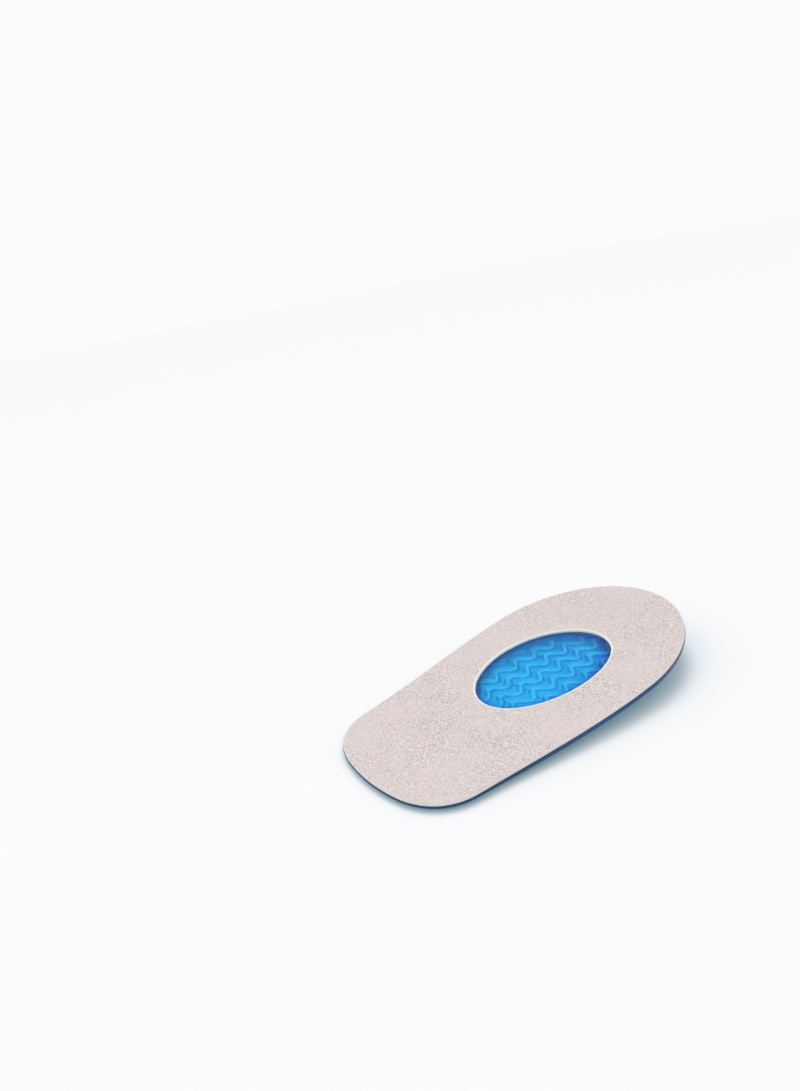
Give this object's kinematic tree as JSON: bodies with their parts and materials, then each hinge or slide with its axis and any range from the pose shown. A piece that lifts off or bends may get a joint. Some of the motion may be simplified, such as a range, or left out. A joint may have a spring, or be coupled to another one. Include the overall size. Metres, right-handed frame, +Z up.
{
  "type": "gel heel cup",
  "caption": "Shallow gel heel cup with a raised heel rim, a flat sole with a ribbed recess, and a cloth cover with an oval window.",
  "frame": {"origin": "on the plane of the flat sole, under the middle of the cup's length and width", "axes": "+Y towards the toe, +Z up from the sole to the heel, +X to the side"},
  "size_m": [0.059, 0.105, 0.0117],
  "materials": {
    "gel": "clear blue elastomer gel, glossy",
    "cover_cloth": "matt brushed microfibre cloth"
  },
  "bodies": {
    "root": {"gel_body": "gel", "cloth_cover": "cover_cloth"}
  },
  "joints": []
}
